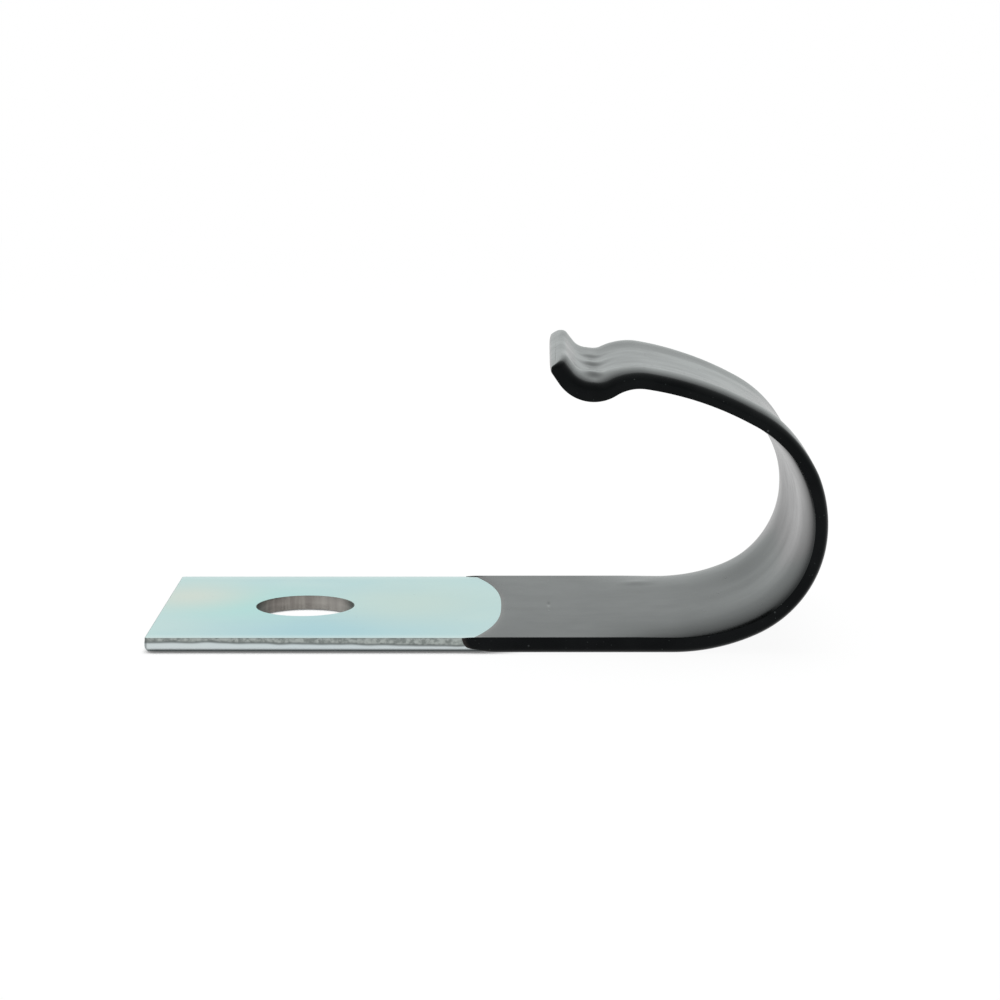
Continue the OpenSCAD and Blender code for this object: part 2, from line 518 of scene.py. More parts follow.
def ring_face(rim_d, rim_y, level, height):
    """A face between the hole and the rim: at each bearing the points run straight from one to the other,
    by shares that are part even and part squared, so they lie closest together at the hole."""
    share = (EVEN_SHARE * spread + (1 - EVEN_SHARE) * spread**2)[None, :]
    face_d = hole_d[:, level, None] * (1 - share) + rim_d[:, None] * share
    face_y = hole_y[:, level, None] * (1 - share) + rim_y[:, None] * share
    return grid(flat_point(face_d, face_y, height), face_d, face_y, **NO_MARKS)


plate_top = ring_face(top_d, top_y, -1, strip_t)
plate_under = ring_face(under_d, under_y, 0, 0.0)
print(f"plate's faces: {FACE_RINGS} rings each")

# %% [markdown]
# ### The rest of the strip
# Behind the seam the strip is one section carried along the mid-line: across the inner face, down the far
# cut edge, back across the outer face and up the near cut edge. A curve with a bevel object would carry
# it too, but it couldn't change along the way. The section uses the same edge profile as the plate, at
# stations that continue from the plate's, so both meet point for point.

# %% Section of the strip at every row
VISIBLE_END = 30.0
HIDDEN_STEP = 0.45
TIP_R = 0.45
TIP_GATHER = 0.5
coat_end = strip_len + (1 + TIP_GATHER) * coat_t
steel_stop = coat_end - TIP_R
sweep_d = np.concatenate([np.arange(seam, VISIBLE_END, EDGE_STEP),
                          np.arange(VISIBLE_END, steel_stop, HIDDEN_STEP), [steel_stop]])
near_station = (seam - sweep_d)[:, None]
far_station = (station[-1] + sweep_d - seam)[:, None]
near_inset = edge_inset(near_station, edge_heights[None, :])
far_inset = edge_inset(far_station, edge_heights[None, :])
share = np.linspace(0, 1, SEAM_POINTS)[None, :]
inner_y = (near_inset[:, -1:] - half_w) * (1 - share) + (half_w - far_inset[:, -1:]) * share
outer_y = (near_inset[:, :1] - half_w) * share + (half_w - far_inset[:, :1]) * (1 - share)
sweep_y = np.concatenate([inner_y, half_w - far_inset[:, ::-1], outer_y, near_inset - half_w], axis=1)
flat_row = np.full(SEAM_POINTS, strip_t / 2)
edge_row = edge_heights - strip_t / 2
sweep_in = np.concatenate([flat_row, edge_row[::-1], -flat_row, edge_row])
print(f"section: {len(sweep_in)} points in {len(sweep_d)} rows")

# %% Sweep the section along the bends
near_marks = edge_marks(near_station, edge_heights[None, :])
far_marks = edge_marks(far_station, edge_heights[None, ::-1])
plain = np.zeros((len(sweep_d), SEAM_POINTS))
sweep_marks = {name: np.concatenate([plain, far_marks[name], plain, near_marks[name]], axis=1)
               for name in near_marks}
sweep_around = np.concatenate([inner_y, np.broadcast_to(edge_around[::-1], far_inset.shape),
                               outer_y, np.broadcast_to(edge_around, near_inset.shape)], axis=1)
strip_sweep = grid(place(sweep_d[:, None], sweep_y, sweep_in[None, :]), sweep_d[:, None], sweep_around,
                   **sweep_marks)
steel_piece = make_piece("zinc_plated_strip",
                         [plate_edge, hole_wall, plate_top, plate_under, strip_sweep],
                         "steel_strip", sharp_angle=40)

# %% [markdown]
# ## The vinyl coat
# The hook was dipped tip first in liquid vinyl and drained. That leaves a skin that starts in a thin
# feather along a curved dip line and rounds the strip's sharp edges. An offset of the steel would give an
# even skin only. Here each point of the section has a foot on the steel and a direction, and the skin's
# thickness is a function of its place along and around the strip.

# %% Section of the coat
FACE_POINTS, FAN_POINTS, WALL_POINTS = 72, 7, 8
CROWDING = 0.75
even = np.linspace(-1, 1, FACE_POINTS)
crowded = (1 - CROWDING) * even + CROWDING * even * (1.5 - 0.5 * even**2)
fan = np.linspace(0, np.pi / 2, FAN_POINTS)
wall_run = np.linspace(strip_t / 2, ROLL_R - strip_t / 2, WALL_POINTS)[1:-1]


def face_rows(across, inward, angle):
    """Rows of a flat face, whose feet lie at one height and point one way. A row is the foot across, the
    foot inward, and the angle of its outward direction, where 0 points across and 90 degrees inward."""
    return np.stack([across, np.full_like(across, inward), np.full_like(across, angle)], axis=-1)


def half_section(side):
    """Rows of one side of the section, from the inner corner, where a fan of directions shares one foot,
    down the wall to the outer round. The other side is the same in reverse, mirrored across."""
    corner_rows = np.stack([np.full_like(fan, half_w), np.full_like(fan, strip_t / 2), np.pi / 2 - fan],
                           axis=-1)
    wall_rows = np.stack([np.full_like(wall_run, half_w), wall_run, np.zeros_like(wall_run)], axis=-1)
    round_rows = np.stack([half_w - ROLL_R + ROLL_R * np.cos(fan),
                           ROLL_R - strip_t / 2 - ROLL_R * np.sin(fan), -fan], axis=-1)
    rows = np.concatenate([corner_rows, wall_rows, round_rows])
    if side < 0:
        rows = rows[::-1].copy()
        rows[:, 0] *= -1
        rows[:, 2] = np.pi - rows[:, 2]
    return rows


inner_rows = face_rows(half_w * crowded, strip_t / 2, np.pi / 2)
outer_rows = face_rows(((half_w - ROLL_R) * crowded)[::-1], -strip_t / 2, -np.pi / 2)
section = np.concatenate([inner_rows[1:-1], half_section(1), outer_rows[1:-1], half_section(-1),
                          inner_rows[1:2]])
foot_y, foot_in, out_angle = section.T
skin_y = foot_y + coat_t * np.cos(out_angle)
skin_in = foot_in + coat_t * np.sin(out_angle)
girth = np.concatenate([[0.0], np.cumsum(np.hypot(np.diff(skin_y), np.diff(skin_in)))])
print(f"coat section: {len(section)} points, {girth[-1]:.1f} mm round")

# %% The dip line
DIP_END = 29.1
DIP_SAG, DIP_POWER = 2.35, 2.6
CORNER_DROP, CORNER_FROM = 0.85, 0.985
EDGE_SLOPE = 0.85
depth_share = (strip_t / 2 - foot_in) / strip_t
edge_share = np.abs(foot_y) / half_w
corner_drop = CORNER_DROP * smooth(edge_share, CORNER_FROM, 1.0)
dip_start = DIP_END - DIP_SAG * edge_share**DIP_POWER - corner_drop + EDGE_SLOPE * depth_share**2
dip_start[-1] = dip_start[0]
print(f"dip line from {dip_start.min():.1f} to {dip_start.max():.1f} mm off the square end")

# %% Rows along the coat
FEATHER_ROWS = (0.0, 0.03, 0.08, 0.15, 0.25, 0.38, 0.55, 0.75)
FIRST_STEP = 1.0
NICK_FROM, NICK_TO = 30.4, 31.6
LIP_FROM = 80.0
ROW_FADE = 41.0
first_row = dip_start.min()
# Each stretch of rows goes from a distance to the next by a step, which is finest at the nick and the lip
stretches = [(first_row + FIRST_STEP, NICK_FROM, 0.3), (NICK_FROM, NICK_TO, 0.07),
             (NICK_TO, BASE_LEN, 0.45), (BASE_LEN, LIP_FROM, 0.3), (LIP_FROM, steel_stop, 0.12)]
rows_d = np.concatenate([first_row + np.array(FEATHER_ROWS), *(np.arange(*s) for s in stretches)])
# The first row follows the dip line, and the rows straighten out along the base
lag = 1 - smooth(rows_d, first_row, ROW_FADE)
coat_d = rows_d[:, None] + (dip_start - first_row)[None, :] * lag[:, None]
print(f"coat: {len(rows_d)} rows")

# %% [markdown]
# ### Thickness and swell
# Liquid vinyl thins along the dip line and gathers at the tip where the last drop hung. A nick and a dried
# drop are left on the base. A little way in from its edges the coat swells, and in the middle of the
# hook and of the arm it dishes again. In the hollow of the lip it pooled and set in three ripples. These
# could be sculpted. Here each is one soft term that is added to the skin, so it can be read and changed by
# itself.

# %% Thickness of the coat
FEATHER, FEATHER_FILM = 0.45, 0.1
GATHER_FROM = 83.0
NICK_D, NICK_Y, NICK_LONG, NICK_WIDE, NICK_SHARE = 33.2, 0.2, 0.12, 0.6, 0.7
DROP_D, DROP_Y, DROP_R, DROP_SHARE = 41.2, 8.8, 1.1, 0.7
WAVER, WAVER_GRAIN = 0.02, (14.0, 5.0)
DIMPLE, DIMPLE_GRAIN = 0.006, (4.0, 1.8)
past_line = coat_d - dip_start[None, :]
film = FEATHER_FILM + (1 - FEATHER_FILM) * (1 - np.exp(-past_line / FEATHER))
film = film * (1 + TIP_GATHER * smooth(coat_d, GATHER_FROM, strip_len))
waver = WAVER * soft_noise(coat_d, girth[None, :], *WAVER_GRAIN, seed=21)
waver = waver + DIMPLE * soft_noise(coat_d, girth[None, :], *DIMPLE_GRAIN, seed=22)
nick = np.exp(-((coat_d - NICK_D) / NICK_LONG)**2 - ((foot_y[None, :] - NICK_Y) / NICK_WIDE)**2)
drop = DROP_SHARE * np.exp(-((coat_d - DROP_D)**2 + (foot_y[None, :] - DROP_Y)**2) / DROP_R**2)
inside = (np.sin(out_angle) >= 0)[None, :]
thickness = coat_t * film * (1 + waver + (drop - NICK_SHARE * nick) * inside)
coat_y = foot_y + thickness * np.cos(out_angle)
coat_in = foot_in + thickness * np.sin(out_angle)
print(f"coat {thickness.min():.3f} to {thickness.max():.3f} mm thick before it swells")

# %% Swell inside the hook
SWELL_IN, SWELL_TIP = 0.38, 0.15
WIDE_TIP = 1.5
DISH_IN, DISH_IN_FROM, DISH_IN_FULL = 0.25, 4.0, 11.5
SWELL_FROM = 36.0
HOOK_SWELL, HOOK_DISH = (0.0, 1.0, 0.8, 0.8, 0.0), (0.0, 0.2, 0.8, 0.8, 0.0)
wall_gap = np.clip(half_w + coat_t - np.abs(coat_y), 0.0, None)


def bulge(gap, width):
    """Share of a swell's height, 1 - exp(-gap / width): steepest at the edge and level far from it."""
    return 1 - np.exp(-gap / width)


swell_d = [SWELL_FROM, BASE_LEN + RISE_RUN, step_middle[HOOK] - BEND_LEAD, step_middle[CROWN],
           step_start[ARM]]
in_hook = np.interp(coat_d, swell_d, HOOK_SWELL)
in_dish = np.interp(coat_d, swell_d, HOOK_DISH)
dish_in = in_dish * DISH_IN * smooth(wall_gap, DISH_IN_FROM, DISH_IN_FULL)
swell_in = in_hook * SWELL_IN * bulge(wall_gap, WIDE_IN) - dish_in
swell_in = swell_in + SWELL_TIP * smooth(coat_d, valley_d, strip_len) * bulge(wall_gap, WIDE_TIP)
print(f"inside: swell up to {swell_in.max():.2f} mm")

# %% Swell on the arm and ripples in the lip's hollow
SWELL_ARM, SWELL_POOL = 0.24, 0.28
WIDE_ARM, WIDE_POOL = 1.8, 1.2
DISH_ARM, DISH_ARM_FROM, DISH_ARM_FULL = 0.24, 2.2, 7.5
ARM_FROM, ARM_FULL = 62.0, 70.0
POOL_REACH, RIPPLE_REACH = 2.3, 1.4
RIPPLES = ((4.2, 0.21, 1.0), (-1.4, 0.27, 1.0), (-9.5, 0.34, 1.2))


def ripple_step(across, centre, size, width):
    """One ripple across the strip: a steep tanh less a flatter one, so it rises and falls once and dies
    away on both sides."""
    return size * (np.tanh((across - centre) / width) - np.tanh((across - centre) / (3 * width)))


on_arm = smooth(coat_d, ARM_FROM, ARM_FULL)
dish_arm = DISH_ARM * smooth(wall_gap, DISH_ARM_FROM, DISH_ARM_FULL)
swell_out = on_arm * (SWELL_ARM * bulge(wall_gap, WIDE_ARM) - dish_arm)
in_valley = np.exp(-((coat_d - valley_d) / POOL_REACH)**2)
ripple = sum(ripple_step(foot_y, *one) for one in RIPPLES)
ripple = ripple[None, :] * np.exp(-((coat_d - valley_d) / RIPPLE_REACH)**2)
swell_out = swell_out + (in_valley * SWELL_POOL + ripple) * bulge(wall_gap, WIDE_POOL)
coat_in = coat_in + np.where(inside, swell_in, -swell_out)
print(f"outside: swell up to {swell_out.max():.2f} mm")

# %% Skins and tip of the coat
SKIN_GAP = 0.002
TIP_BOW = 0.1
TIP_CROWN = (0.003, 0.005, 0.006)
TIP_POINTS = 9
outer_skin = place(coat_d, coat_y, coat_in)
bed_y = foot_y + SKIN_GAP * np.cos(out_angle)
bed_in = foot_in + SKIN_GAP * np.sin(out_angle)
keep = np.unique(np.append(np.arange(0, len(rows_d), 2), len(rows_d) - 1))
bed_d = np.concatenate([coat_d[keep], np.full((1, len(section)), steel_stop + SKIN_GAP)])
bed_skin = place(bed_d, bed_y, bed_in)
start_rim = np.stack([outer_skin[0], bed_skin[0]])
tip_turn = np.linspace(0, np.pi / 2, TIP_POINTS)
half_coat = strip_t / 2 + (1 + TIP_GATHER) * coat_t
end_inset = np.linspace(TIP_R, half_coat, len(TIP_CROWN) + 2)[1:-1]
tip_inset = np.concatenate([TIP_R * (1 - np.cos(tip_turn)), end_inset])
tip_d = steel_stop + np.concatenate([TIP_R * np.sin(tip_turn), TIP_R + np.array(TIP_CROWN)])
tip_y = coat_y[-1] * (1 - tip_inset / (half_w + coat_t))[:, None]
tip_in = coat_in[-1] * (1 - tip_inset / half_coat)[:, None]
bow = TIP_BOW * (1 - edge_share**3)
tip_reach = tip_d[:, None] + (tip_d - steel_stop)[:, None] / TIP_R * bow[None, :]
tip_cap = place(tip_reach, tip_y, tip_in)
outer_skin[-1] = tip_cap[0]
print(f"tip: {len(tip_d)} rings, {coat_end:.2f} mm off the square end")

# %% Make the coat
FAR_PAST = 60.0


def coat_grid(points, distance, line_distance):
    """A grid of the coat, with how far each point lies past the dip line as its mark."""
    return grid(points, distance, girth[None, :], past_line=line_distance)


coat_piece = make_piece(
    "vinyl_sleeve",
    [coat_grid(outer_skin, coat_d, past_line), coat_grid(tip_cap, tip_d[:, None], FAR_PAST),
     coat_grid(bed_skin, bed_d, FAR_PAST), coat_grid(start_rim, coat_d[:1], 0.0)],
    "vinyl_coating", sharp_angle=60)

# %% [markdown]
# ## Finishes
# Both finishes carry fine lines along the strip, from rolling on the steel and from draining on the
# vinyl, and both carry a few specks. They could be painted, but a painted picture has a fixed grain and a
# seam. Each effect is one node group instead, placed in both materials with its own values.

# %% Node helpers
MIX_FACTOR, MIX_A, MIX_B, MIX_OUT = 0, 6, 7, 2


def add(tree, kind, inputs=None, **settings):
    """Adds a node with its settings. An input is a value, or another node's output to link."""
    node = tree.nodes.new(kind)
    for name, value in settings.items():
        setattr(node, name, value)
    for name, value in (inputs or {}).items():
        if isinstance(value, bpy.types.NodeSocket):
            tree.links.new(value, node.inputs[name])
        else:
            node.inputs[name].default_value = value
    return node


def maths(tree, operation, first, second=0.0):
    """The output of one Math node."""
    return add(tree, "ShaderNodeMath", {0: first, 1: second}, operation=operation).outputs[0]


def blend(tree, factor, first, second):
    """The colour between two colours, by a factor."""
    return add(tree, "ShaderNodeMix", {MIX_FACTOR: factor, MIX_A: first, MIX_B: second},
               data_type="RGBA").outputs[MIX_OUT]


def stain(tree, mask, share, colour, tint):
    """The colour with a share of a tint laid over it where the mask is 1."""
    return blend(tree, maths(tree, "MULTIPLY", mask, share), colour, tint)


def ramp(tree, value, low, high, to_low=0.0, to_high=1.0):
    """A value eased from one range to another, and held at its ends."""
    ends = {"Value": value, "From Min": low, "From Max": high, "To Min": to_low, "To Max": to_high}
    return add(tree, "ShaderNodeMapRange", ends, interpolation_type="SMOOTHSTEP").outputs[0]


print("node helpers: a Mix node's colours are its inputs", MIX_A, "and", MIX_B)

# %% Helpers for places, noise, marks and groups
NOISE_LOW, NOISE_HIGH = 0.3, 0.7
MIDDLE_LOW, MIDDLE_HIGH = 0.35, 0.65


def axis_value(tree, point, axis):
    """One coordinate of a point: 0 is x, 1 is y and 2 is z."""
    return add(tree, "ShaderNodeSeparateXYZ", {0: point}).outputs[axis]


def clouded(tree, point, per_mm, detail):
    """Cloudy noise, about a half, at so many waves to the millimetre."""
    return add(tree, "ShaderNodeTexNoise",
               {"Vector": point, "Scale": per_mm / MM, "Detail": detail}).outputs["Fac"]


def mark(tree, name):
    """One of the piece's own marks as a value."""
    return add(tree, "ShaderNodeAttribute", attribute_name=name).outputs["Fac"]


def effect(tree, group, values):
    """A node group placed in a material with its own values, as its one output."""
    return add(tree, "ShaderNodeGroup", values, node_tree=group).outputs[0]


def new_group(name, inputs, output):
    """An empty shader node group with its number sockets, its input node and its output node."""
    group = bpy.data.node_groups.new(name, "ShaderNodeTree")
    for socket, default in inputs.items():
        made = group.interface.new_socket(socket, in_out="INPUT", socket_type="NodeSocketFloat")
        made.default_value = default
    group.interface.new_socket(output, in_out="OUTPUT", socket_type="NodeSocketFloat")
    return group, group.nodes.new("NodeGroupInput").outputs, group.nodes.new("NodeGroupOutput")


print("noise lies mostly between", NOISE_LOW, "and", NOISE_HIGH)

# %% Group for lines along the strip
lines_group, lines_in, lines_out = new_group(
    "lines_along_strip", {"Stretch": 0.03, "Lines": 2.0, "Detail": 3.0}, "Value")
lines_uv = add(lines_group, "ShaderNodeUVMap", uv_map="strip").outputs[0]
lines_along = maths(lines_group, "MULTIPLY", axis_value(lines_group, lines_uv, 0), lines_in["Stretch"])
lines_around = maths(lines_group, "MULTIPLY", axis_value(lines_group, lines_uv, 1), lines_in["Lines"])
lines_place = add(lines_group, "ShaderNodeCombineXYZ", {0: lines_along, 1: lines_around})
lines_noise = add(lines_group, "ShaderNodeTexNoise",
                  {"Vector": lines_place.outputs[0], "Scale": 1.0, "Detail": lines_in["Detail"]})
lines_group.links.new(lines_noise.outputs["Fac"], lines_out.inputs["Value"])
print("group:", lines_group.name)

# %% Group for specks
specks_group, specks_in, specks_out = new_group(
    "specks", {"Per mm": 1.0, "Size": 0.15, "Share": 0.3}, "Mask")
specks_place = add(specks_group, "ShaderNodeTexCoord").outputs["Object"]
specks_scale = maths(specks_group, "DIVIDE", specks_in["Per mm"], MM)
specks_cells = add(specks_group, "ShaderNodeTexVoronoi", {"Vector": specks_place, "Scale": specks_scale})
specks_pick = add(specks_group, "ShaderNodeSeparateColor", {0: specks_cells.outputs["Color"]})
specks_chosen = maths(specks_group, "LESS_THAN", specks_pick.outputs[0], specks_in["Share"])
specks_size = maths(specks_group, "MULTIPLY", specks_in["Size"], specks_pick.outputs[1])
specks_round = add(specks_group, "ShaderNodeMapRange",
                   {"Value": specks_cells.outputs["Distance"], "From Min": specks_size, "From Max": 0.0})
specks_group.links.new(maths(specks_group, "MULTIPLY", specks_round.outputs[0], specks_chosen),
                       specks_out.inputs["Mask"])
print("group:", specks_group.name)

# %% [markdown]
# ### Bright zinc plate
# Passivated zinc is a silver metal under a film so thin that it shows soft clouds of blue, cyan, straw and
# rose. A paler band along the rims is a painted highlight. A thin film shader would do this exactly, but it
# wouldn't outlive the export, so the clouds are broad soft spots mixed into the metal's colour. The break
# on the cut edge is dark and rough, and the burnished band is bright. Painted shade darkens the drawn
# round, the rounded corners of the square end and a thin line where the break begins. The hole's wall is a
# rougher, darker grey, with painted light growing towards the hook and painted shade at both ends.

# %% Clouds on the zinc
PLAIN_ZINC = (0.73, 0.84, 0.83, 1)
BLUE_ZINC = (0.55, 0.75, 0.82, 1)
STRAW_ZINC = (0.75, 0.82, 0.77, 1)
ROSE_ZINC = (0.88, 0.84, 0.76, 1)
CYAN_ZINC = (0.59, 0.85, 0.82, 1)
CLOUDS = (((1.5, -10.5), 14.0, BLUE_ZINC), ((9.5, 1.0), 12.0, STRAW_ZINC),
          ((-5.0, 1.0), 11.0, CYAN_ZINC), ((-10.5, 4.0), 9.0, ROSE_ZINC))
DRIFT_FROM, DRIFT_FULL, DRIFT_SHARE = 0.35, 0.7, 0.3
zinc = bpy.data.materials.new("bright_zinc")
zinc.use_nodes = True
tree = zinc.node_tree
zinc_shader = tree.nodes["Principled BSDF"]
zinc_place = add(tree, "ShaderNodeTexCoord").outputs["Object"]


def cloud(tree, centre, reach):
    """A soft spot: 1 at its centre on the base, and eased to 0 at its reach, both in millimetres."""
    away = add(tree, "ShaderNodeVectorMath", {0: zinc_place, 1: [v * MM for v in centre]},
               operation="DISTANCE").outputs["Value"]
    return ramp(tree, away, 0.0, reach * MM, 1.0, 0.0)


drift = clouded(tree, zinc_place, 0.12, 2.0)
drift = ramp(tree, drift, DRIFT_FROM, DRIFT_FULL, 0.0, DRIFT_SHARE)
colour = blend(tree, drift, PLAIN_ZINC, BLUE_ZINC)
for centre, reach, tint in CLOUDS:
    colour = blend(tree, cloud(tree, (*centre, strip_t), reach), colour, tint)
print("zinc:", len(CLOUDS), "clouds")

# %% Rolled lines, pits and a painted highlight along the rims of the zinc
LINE_ZINC = (0.95, 0.95, 0.95, 1)
PIT_ZINC = (0.3, 0.34, 0.35, 1)
HIGHLIGHT_ZINC = (0.93, 0.96, 0.95, 1)
LINE_SHARE, PIT_SHARE, HIGHLIGHT_SHARE = 0.04, 0.35, 0.55
RIM_FROM, RIM_FULL = 1.6, 0.3
rolling = effect(tree, lines_group, {"Stretch": 0.04, "Lines": 3.2})
pale_lines = ramp(tree, rolling, NOISE_LOW, NOISE_HIGH, 0.0, LINE_SHARE)
colour = blend(tree, pale_lines, colour, LINE_ZINC)
pits = effect(tree, specks_group, {"Per mm": 1.3, "Size": 0.2, "Share": 0.12})
colour = stain(tree, pits, PIT_SHARE, colour, PIT_ZINC)
# The paler band along both rims of the width is a painted highlight
zinc_across = maths(tree, "ABSOLUTE", axis_value(tree, zinc_place, 1))
rim = ramp(tree, zinc_across, (half_w - RIM_FROM) * MM, (half_w - RIM_FULL) * MM, 0.0, HIGHLIGHT_SHARE)
colour = blend(tree, rim, colour, HIGHLIGHT_ZINC)
print(f"zinc: paler in the last {RIM_FROM} mm of its width")

# %% Bands of the cut edge
CUT_ZINC = (0.5, 0.55, 0.56, 1)
DARK_BREAK, PALE_BREAK = (0.24, 0.26, 0.25, 1), (0.43, 0.46, 0.44, 1)
# Painted shade for the thin line where the break begins
LINE_SHADE_COLOUR = (0.1, 0.11, 0.11, 1)
# Painted shade for the drawn round and the square end's corners
ROUND_SHADE_COLOUR = (0.07, 0.075, 0.075, 1)
CUT_SHARE, LINE_SHADE_SHARE, ROUND_SHADE_SHARE = 0.7, 0.8, 0.8
rough_break = mark(tree, "rough_break")
break_grain = clouded(tree, zinc_place, 3.2, 4.0)
break_mix = ramp(tree, break_grain, MIDDLE_LOW, MIDDLE_HIGH)
break_colour = blend(tree, break_mix, DARK_BREAK, PALE_BREAK)
colour = stain(tree, mark(tree, "cut_edge"), CUT_SHARE, colour, CUT_ZINC)
colour = blend(tree, rough_break, colour, break_colour)
# Painted shade along the line where the break begins
colour = stain(tree, mark(tree, "shade_line"), LINE_SHADE_SHARE, colour, LINE_SHADE_COLOUR)
# Painted shade over the drawn round
colour = stain(tree, mark(tree, "round_shade"), ROUND_SHADE_SHARE, colour, ROUND_SHADE_COLOUR)
print("cut edge: burnished, broken, torn and drawn bands")

# %% Wall of the hole, streaked by the punch
DARK_STREAK, PALE_STREAK = (0.215, 0.195, 0.18, 1), (0.32, 0.3, 0.275, 1)
LIT_WALL = (0.6, 0.58, 0.55, 1)
SHADED_WALL = (0.08, 0.085, 0.08, 1)
# Where the light and the shade on the wall start and are full, in radii of the hole, and their shares
LIT_FROM, LIT_FULL, LIT_SHARE = -0.5, 1.0, 0.4
SHADE_FROM, SHADE_FULL, SHADE_SHARE = 0.7, 0.97, 0.6
in_hole = mark(tree, "hole_wall")
streaks = effect(tree, lines_group, {"Stretch": 1.6, "Lines": 0.2, "Detail": 2.0})
streaks = ramp(tree, streaks, NOISE_LOW, NOISE_HIGH)
hole_colour = blend(tree, streaks, DARK_STREAK, PALE_STREAK)
zinc_along = axis_value(tree, zinc_place, 0)
lit_share = ramp(tree, zinc_along, LIT_FROM * hole_r * MM, LIT_FULL * hole_r * MM, 0.0, LIT_SHARE)
hole_colour = blend(tree, lit_share, hole_colour, LIT_WALL)
hole_side = maths(tree, "ABSOLUTE", zinc_along)
shaded_share = ramp(tree, hole_side, SHADE_FROM * hole_r * MM, SHADE_FULL * hole_r * MM, 0.0, SHADE_SHARE)
hole_colour = blend(tree, shaded_share, hole_colour, SHADED_WALL)
colour = blend(tree, in_hole, colour, hole_colour)
tree.links.new(colour, zinc_shader.inputs["Base Color"])
print("hole: streaked wall, darker at both ends")

# %% Gloss and bump of the zinc
ZINC_ROUGHNESS = (0.29, 0.33)
BREAK_ROUGHNESS, HOLE_ROUGHNESS = 0.25, 0.1
SMOOTH_GRAIN, LINE_HEIGHT = 0.02, 0.015
ZINC_BUMP = 0.05
roughness = ramp(tree, rolling, NOISE_LOW, NOISE_HIGH, *ZINC_ROUGHNESS)
roughness = maths(tree, "ADD", roughness, maths(tree, "MULTIPLY", rough_break, BREAK_ROUGHNESS))
roughness = maths(tree, "ADD", roughness, maths(tree, "MULTIPLY", in_hole, HOLE_ROUGHNESS))
tree.links.new(roughness, zinc_shader.inputs["Roughness"])
grain_height = maths(tree, "MULTIPLY", break_grain, maths(tree, "ADD", rough_break, SMOOTH_GRAIN))
line_height = maths(tree, "MULTIPLY", rolling, LINE_HEIGHT)
zinc_bump = add(tree, "ShaderNodeBump", {"Strength": 0.5, "Distance": ZINC_BUMP * MM,
                                         "Height": maths(tree, "ADD", grain_height, line_height)})
tree.links.new(zinc_bump.outputs[0], zinc_shader.inputs["Normal"])
zinc_shader.inputs["Metallic"].default_value = 1.0
zinc_shader.inputs["Specular Tint"].default_value = (0.74, 0.86, 0.86, 1)
steel_piece.data.materials.append(zinc)
print("finish:", zinc.name, len(tree.nodes), "nodes")

# %% [markdown]
# ### Black vinyl
# The dip is black all through with a satin skin: nearly all that is seen is the soft gloss, which grows at
# a grazing angle. A grey colour would look right from one side only. So the colour is close to black, and
# the detail is in the roughness and in a shallow bump. Where the feather is thinnest at the dip line, the
# film turns a little brown. Dust shows as a few pale specks on the faces and as more of them on the side
# walls.

# %% Colour of the vinyl
BLACK_VINYL = (0.0015, 0.0017, 0.0018, 1)
GREY_VINYL = (0.0038, 0.0042, 0.0043, 1)
THIN_VINYL = (0.030, 0.024, 0.022, 1)
FACE_DUST = (0.22, 0.23, 0.23, 1)
WALL_DUST = (0.2, 0.22, 0.21, 1)
FACE_DUST_SHARE, WALL_DUST_SHARE = 0.5, 0.45
THIN_REACH = 0.5
WALL_FROM, WALL_FULL = -0.05, 0.03
vinyl = bpy.data.materials.new("satin_black_vinyl")
vinyl.use_nodes = True
tree = vinyl.node_tree
vinyl_shader = tree.nodes["Principled BSDF"]
vinyl_place = add(tree, "ShaderNodeTexCoord").outputs["Object"]
mottle = clouded(tree, vinyl_place, 0.35, 4.0)
mottle_mix = ramp(tree, mottle, MIDDLE_LOW, MIDDLE_HIGH)
colour = blend(tree, mottle_mix, BLACK_VINYL, GREY_VINYL)
thin = ramp(tree, mark(tree, "past_line"), 0.0, THIN_REACH, 1.0, 0.0)
colour = blend(tree, thin, colour, THIN_VINYL)
dust = effect(tree, specks_group, {"Per mm": 1.1, "Size": 0.16, "Share": 0.35})
colour = stain(tree, dust, FACE_DUST_SHARE, colour, FACE_DUST)
wall_dust = effect(tree, specks_group, {"Per mm": 2.4, "Size": 0.3, "Share": 0.6})
vinyl_across = maths(tree, "ABSOLUTE", axis_value(tree, vinyl_place, 1))
on_wall = ramp(tree, vinyl_across, (half_w + WALL_FROM) * MM, (half_w + WALL_FULL) * MM)
wall_dust = maths(tree, "MULTIPLY", wall_dust, on_wall)
colour = stain(tree, wall_dust, WALL_DUST_SHARE, colour, WALL_DUST)
tree.links.new(colour, vinyl_shader.inputs["Base Color"])
print("vinyl: black, with dust on its faces and walls")

# %% Gloss and bump of the vinyl
VINYL_ROUGHNESS, DRAINED_ROUGHNESS = (0.19, 0.22), (-0.008, 0.012)
DUST_ROUGHNESS = 0.3
FINE_HEIGHT, MOTTLE_HEIGHT = 0.08, 0.12
VINYL_BUMP = 0.03
drained = effect(tree, lines_group, {"Stretch": 0.05, "Lines": 0.8, "Detail": 2.0})
drained = ramp(tree, drained, NOISE_LOW, NOISE_HIGH, *DRAINED_ROUGHNESS)
roughness = ramp(tree, mottle, NOISE_LOW, NOISE_HIGH, *VINYL_ROUGHNESS)
roughness = maths(tree, "ADD", roughness, drained)
roughness = maths(tree, "ADD", roughness, maths(tree, "MULTIPLY", dust, DUST_ROUGHNESS))
tree.links.new(roughness, vinyl_shader.inputs["Roughness"])
fine_height = maths(tree, "MULTIPLY", clouded(tree, vinyl_place, 3.0, 3.0), FINE_HEIGHT)
mottle_height = maths(tree, "MULTIPLY", mottle, MOTTLE_HEIGHT)
vinyl_height = maths(tree, "ADD", maths(tree, "ADD", fine_height, mottle_height), dust)
vinyl_bump = add(tree, "ShaderNodeBump",
                 {"Strength": 0.35, "Distance": VINYL_BUMP * MM, "Height": vinyl_height})
